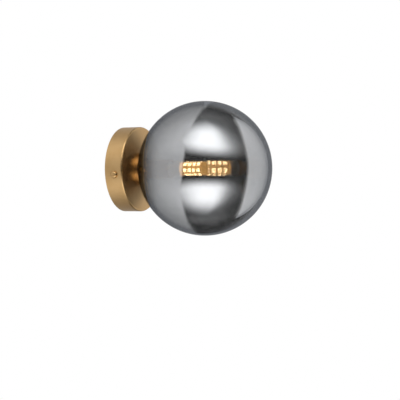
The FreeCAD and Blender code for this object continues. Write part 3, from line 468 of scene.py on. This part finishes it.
# %% [markdown]
# ## The windows of the chips
#
# Each chip is a pale package with a window of phosphor in its face: a nearly square patch with round
# corners that stands a little proud. One window is a cube, flattened, with the four edges through its
# thickness bevelled. The same mesh is then set along each flat of the lamp and turned round it.

# %% Turn a shape into a piece that rides on a body


def finish_piece(shape, name, material, body, smooth=False):
    """Turns a bmesh into an object that rides on a body and takes its finish from a slot."""
    mesh = bpy.data.meshes.new(name)
    shape.to_mesh(mesh)
    shape.free()
    for face in mesh.polygons:
        face.use_smooth = smooth
    mesh.materials.append(material)
    piece = bpy.data.objects.new(name, mesh)
    bpy.context.scene.collection.objects.link(piece)
    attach(piece, body)
    print(name, "has", len(mesh.polygons), "faces and rides on", body)


# %% Model the windows
LAMP_FLATS = 6
FIRST_FLAT = math.radians(17.5)
CHIPS_ON_A_FLAT = 4
CHIP_LENGTH = 0.0033
CHIP_FACE = 0.0068
WINDOW_THICKNESS = 0.00016
WINDOW_LENGTH = 0.0029
WINDOW_WIDTH = 0.0034
WINDOW_CORNER = 0.0006
WINDOW_SINK = 0.00002


def one_window():
    shape = bmesh.new()
    bmesh.ops.create_cube(shape, size=1.0)
    bmesh.ops.scale(shape, verts=shape.verts, vec=(WINDOW_THICKNESS, WINDOW_LENGTH, WINDOW_WIDTH))
    through = [e for e in shape.edges if abs(e.verts[0].co.x - e.verts[1].co.x) > WINDOW_THICKNESS / 2]
    bmesh.ops.bevel(
        shape,
        geom=through,
        offset=WINDOW_CORNER,
        segments=3,
        profile=0.5,
        affect="EDGES",
        material=-1,
    )
    mesh = bpy.data.meshes.new("one_window")
    shape.to_mesh(mesh)
    shape.free()
    return mesh


def make_chip_windows():
    low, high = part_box("lamp_chips")
    pitch = (high[1] - low[1] - CHIP_LENGTH) / (CHIPS_ON_A_FLAT - 1)
    out = CHIP_FACE + WINDOW_THICKNESS / 2 - WINDOW_SINK
    window = one_window()
    shape = bmesh.new()
    for flat in range(LAMP_FLATS):
        turn = Matrix.Rotation(-FIRST_FLAT - flat * math.tau / LAMP_FLATS, 4, "Y")
        for i in range(CHIPS_ON_A_FLAT):
            middle = low[1] + CHIP_LENGTH / 2 + i * pitch
            old = len(shape.verts)
            shape.from_mesh(window)
            shape.verts.ensure_lookup_table()
            place = turn @ Matrix.Translation((out, middle, 0))
            bmesh.ops.transform(shape, verts=shape.verts[old:], matrix=place)
    finish_piece(shape, "chip_windows", window_glow, "lamp")


make_chip_windows()

# %% [markdown]
# ## The sleeve's rolled lip
#
# A spun sleeve never ends in a raw edge: its mouth is rolled over, so that it doesn't cut whoever
# changes the lamp. A small circle is spun once round the light's axis to make the roll.

# %% Spin the lip
LIP_RADIUS = 0.0096
LIP_THICKNESS = 0.0005
SIDES_OF_THE_ROLL = 16
STEPS_ROUND_THE_LIP = 96


def make_sleeve_lip():
    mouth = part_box("holder_sleeve")[0][1]
    shape = bmesh.new()
    bmesh.ops.create_circle(shape, segments=SIDES_OF_THE_ROLL, radius=LIP_THICKNESS)
    bmesh.ops.translate(shape, verts=shape.verts, vec=(LIP_RADIUS, mouth, 0))
    bmesh.ops.spin(
        shape,
        geom=shape.verts[:] + shape.edges[:],
        cent=(0, 0, 0),
        axis=(0, 1, 0),
        angle=math.tau,
        steps=STEPS_ROUND_THE_LIP,
        use_merge=True,
    )
    bmesh.ops.remove_doubles(shape, verts=shape.verts, dist=1e-6)
    bmesh.ops.recalc_face_normals(shape, faces=shape.faces)
    finish_piece(shape, "sleeve_lip", satin_brass, "fixture", smooth=True)


make_sleeve_lip()

# %% [markdown]
# ## The studio
#
# The photograph's globe is a map of its studio. A point of the globe at a distance r from its middle
# shows what lies at twice the angle whose sine is r over the radius, away from the camera. Read that
# way, there is a white wall behind the light, one soft box above the camera and one below it, and a
# pale panel to the right. A dimmer wall closes the side away from the camera, a little light comes from
# straight above and below, and all else is dark.
#
# Each shape is a few lines of maths on a direction. Its compass angle from the camera is `turn`, more to
# the right, and its height over the camera's level is `rise`, both in degrees.

# %% Name the studio's directions
CAMERA_TURN = math.radians(-64.74)
TO_CAMERA = Vector((math.sin(CAMERA_TURN), -math.cos(CAMERA_TURN), 0.0))
TO_RIGHT = Vector((math.cos(CAMERA_TURN), math.sin(CAMERA_TURN), 0.0))
UP = Vector((0.0, 0.0, 1.0))
DEGREES = 180 / math.pi


def studio_direction(right_degrees, up_degrees):
    """A direction so many degrees to the right of the camera's own and above it."""
    right, up = math.radians(right_degrees), math.radians(up_degrees)
    level = TO_CAMERA * math.cos(right) + TO_RIGHT * math.sin(right)
    return level * math.cos(up) + UP * math.sin(up)


def along(maker, direction, fixed):
    """How far a direction points along a fixed one: 1 for the same way, 0 for square to it."""
    return maker.measure("DOT_PRODUCT", direction, tuple(fixed))


print("the camera lies towards", tuple(round(v, 3) for v in TO_CAMERA))

# %% [markdown]
# Both walls are round patches with a soft edge. A round patch needs only the angle from its middle, and a
# dot product gives the cosine of that. The wall behind the light isn't even: its near side is brighter,
# painted light from the boxes, and it is darker along the light's level, painted shade of the light
# itself.

# %% Shape the walls
WALL_MIDDLE = studio_direction(-111.0, 6.5)
WALL_EDGE = (0.27, 0.34)
WALL_SHADE = studio_direction(-145.0, 0.0)
WALL_SHADE_EDGE = (0.55, 1.0)
FAR_WALL_MIDDLE = studio_direction(162.0, 5.7)
FAR_WALL_EDGE = (0.69, 0.85)
FAR_WALL_LIGHT = 0.57


def wall_board(maker, direction, turn, off_level):
    """The white wall behind the light. Its near side is brightest, painted light from the boxes beside
    it.
    Along the light's own level it is dimmer, most of all on its far side: painted shade of the light
    itself."""
    inside = along(maker, direction, WALL_MIDDLE).step(*WALL_EDGE)
    light = turn.step(-160.0, -57.0) ** 2 * 0.43 + 0.53
    # painted shade: the light's own shadow on the wall along its level, darkest on the far side
    level_shade = (1 - off_level.step(4.0, 40.0)) * turn.step(-130.0, -60.0) * 0.27
    shade = along(maker, direction, WALL_SHADE).step(*WALL_SHADE_EDGE)
    shade = shade * (1 - off_level.step(4.0, 32.0)) * 0.59
    return inside * light * (1 - level_shade) * (1 - shade)


def far_wall(maker, direction):
    """The dimmer wall on the side away from the camera."""
    return along(maker, direction, FAR_WALL_MIDDLE).step(*FAR_WALL_EDGE) * FAR_WALL_LIGHT


print("walls shaped")

# %% [markdown]
# The two soft boxes are alike, one above the camera's level and one below it, so one function makes
# both. They are the brightest things in the studio, over twice as bright as the wall. The panel is an
# oval with full corners, the curve that a power between 2 and 4 gives, cut off straight on its far side.

# %% Shape the boxes and the panel
UPPER_BOX = {
    "light": 2.30, "width": 46.0, "power": 4.7, "near": (16.0, 41.0), "slant": -0.1, "far": (57.6, 94.7)
}
LOWER_BOX = {
    "light": 2.25, "width": 40.7, "power": 5.2, "near": (15.5, 37.0), "slant": 0.0, "far": (48.7, 93.2)
}
BOX_LEFT_FADE = (-100.0, -1.5)
PANEL_MIDDLE = (145.0, 1.8)
PANEL_REACH = (66.0, 50.0)
PANEL_POWER = 2.9
PANEL_EDGE = (0.92, 1.08)
PANEL_CUT = (134.5, 138.5)


def soft_box(turn, off, light, width, power, near, slant, far):
    """A large soft box. `off` is a direction's height off the camera's level, on the box's side. The
    box starts between the two angles `near`, `slant` degrees further off for each degree to the
    right, and ends between the angles `far`. It fades slowly to the left, and to the right it has a
    soft shoulder at `width` degrees."""
    left = turn.step(*BOX_LEFT_FADE)
    right = 1 / (1 + (turn.at_least(0.0) / width) ** power)
    return left * right * (off - turn * slant).step(*near) * (1 - off.step(*far)) * light


def side_panel(turn, rise, off_level):
    """The pale panel on the right, a little brighter to its top and bottom."""
    across = ((turn - PANEL_MIDDLE[0]) / PANEL_REACH[0]).size() ** PANEL_POWER
    above = ((rise - PANEL_MIDDLE[1]) / PANEL_REACH[1]).size() ** PANEL_POWER
    inside = (1 - (across + above).step(*PANEL_EDGE)) * (1 - turn.step(*PANEL_CUT))
    return inside * (off_level * 0.003 + 0.88)


print("boxes and panel shaped")

# %% [markdown]
# The world shows this studio to glossy rays, which are the ones that leave a mirror or satin metal. It
# is white to the camera, as the backdrop of a catalogue picture, and an even soft light for everything
# else. Where two shapes overlap, the brighter one shows.

# %% Build the world as the studio
EVEN_LIGHT = 0.75
STEEP_LIGHT = 0.165
STEEP = (50.0, 90.0)


def make_world():
    world = bpy.data.worlds.new("studio")
    world.use_nodes = True
    bpy.context.scene.world = world
    maker = NodeMaker(world.node_tree)
    direction = maker.node("ShaderNodeTexCoord", output="Generated")
    side = along(maker, direction, TO_RIGHT)
    front = along(maker, direction, TO_CAMERA)
    turn = side.math("ARCTAN2", front) * DEGREES
    rise = along(maker, direction, UP).math("ARCSINE") * DEGREES
    off_level = rise.size()
    light = wall_board(maker, direction, turn, off_level)
    light = light.at_least(far_wall(maker, direction))
    light = light.at_least(soft_box(turn, rise, **UPPER_BOX))
    light = light.at_least(soft_box(turn, -rise, **LOWER_BOX))
    light = light.at_least(side_panel(turn, rise, off_level))
    light = light + off_level.step(*STEEP) * STEEP_LIGHT
    path = maker.node("ShaderNodeLightPath").socket.node
    camera = Value(maker, path.outputs["Is Camera Ray"])
    glossy = Value(maker, path.outputs["Is Glossy Ray"])
    unseen = glossy * light + (1 - glossy) * EVEN_LIGHT
    strength = camera + (1 - camera) * unseen
    shown = maker.node("ShaderNodeBackground", None, {"Color": (1, 1, 1, 1), "Strength": strength})
    maker.node("ShaderNodeOutputWorld", None, {"Surface": shown})


make_world()
print("studio world ready")

# %% [markdown]
# The floor is far below the light, as under a light on a wall. It fades out before its edge, so no
# corner of it shows in any view.

# %% Add the floor
FLOOR_MIDDLE = (0.0, -0.1, -0.62)
FLOOR_HALF_WIDTH = 1.1
FLOOR_FADE = (0.25, 1.05)
FLOOR_GREY = (0.86, 0.86, 0.86, 1.0)


def make_floor():
    mesh = bpy.data.meshes.new("floor")
    grid = bmesh.new()
    bmesh.ops.create_grid(grid, x_segments=1, y_segments=1, size=FLOOR_HALF_WIDTH)
    bmesh.ops.translate(grid, verts=grid.verts, vec=FLOOR_MIDDLE)
    grid.to_mesh(mesh)
    grid.free()
    floor = bpy.data.objects.new("floor", mesh)
    bpy.context.scene.collection.objects.link(floor)
    material, maker, shader = surface("pale_floor", Roughness=0.8, Base_Color=FLOOR_GREY)
    from_middle = maker.measure("DISTANCE", maker.place(), FLOOR_MIDDLE)
    feed(maker, shader, Alpha=1 - from_middle.step(*FLOOR_FADE))
    mesh.materials.append(material)
    floor.visible_glossy = False


make_floor()
print("the floor fades out", FLOOR_FADE[1], "m from its middle")

# %% [markdown]
# Two soft lamps give the parts that aren't metal a light side and a dark side. Mirrors don't show them,
# because the world already holds every shape that a mirror should.

# %% Add the soft lamps
LAMP_TARGET = (0.0, -0.08, 0.0)


def add_area(name, place, size, power):
    lamp = bpy.data.lights.new(name, "AREA")
    lamp.shape = "DISK"
    lamp.size = size
    lamp.energy = power
    holder = bpy.data.objects.new(name, lamp)
    holder.location = place
    aim = Vector(LAMP_TARGET) - Vector(place)
    holder.rotation_euler = aim.to_track_quat("-Z", "Y").to_euler()
    holder.visible_camera = False
    holder.visible_glossy = False
    bpy.context.scene.collection.objects.link(holder)
    print(name, "is", round(aim.length, 2), "m away")


add_area("key_lamp", (-0.9, -1.0, 1.1), size=0.9, power=9.0)
add_area("fill_lamp", (1.0, -0.6, 0.4), size=1.2, power=4.0)

# %% [markdown]
# ## The camera
#
# The camera stands 1.2 m from the globe, level, and its lens is long. The globe sits a little above and
# to the right of the middle of the frame, so the camera is a little lower and to the left of it, and
# needs no shift.

# %% Place the camera
CAMERA_DISTANCE = 1.2
CAMERA_TO_LEFT = 0.0052
CAMERA_BELOW = 0.0329
SENSOR_MM = 36.0
FOCAL_PIXELS = 1153.5
PICTURE_PIXELS = 400.0


def place_camera():
    lens = bpy.data.cameras.new("camera")
    lens.sensor_width = SENSOR_MM
    lens.lens = FOCAL_PIXELS * SENSOR_MM / PICTURE_PIXELS
    lens.clip_start = 0.05
    eye = Vector(GLOBE_MIDDLE) + TO_CAMERA * CAMERA_DISTANCE
    eye = eye - TO_RIGHT * CAMERA_TO_LEFT - UP * CAMERA_BELOW
    camera = bpy.data.objects.new("camera", lens)
    camera.location = eye
    camera.rotation_euler = (-TO_CAMERA).to_track_quat("-Z", "Y").to_euler()
    bpy.context.scene.collection.objects.link(camera)
    bpy.context.scene.camera = camera
    print("camera at", tuple(round(v, 4) for v in eye))


place_camera()

# %% [markdown]
# ## Finish
#
# The view transform is Standard, so a colour shows as it was written.

# %% Set the view transform
bpy.context.scene.view_settings.view_transform = "Standard"
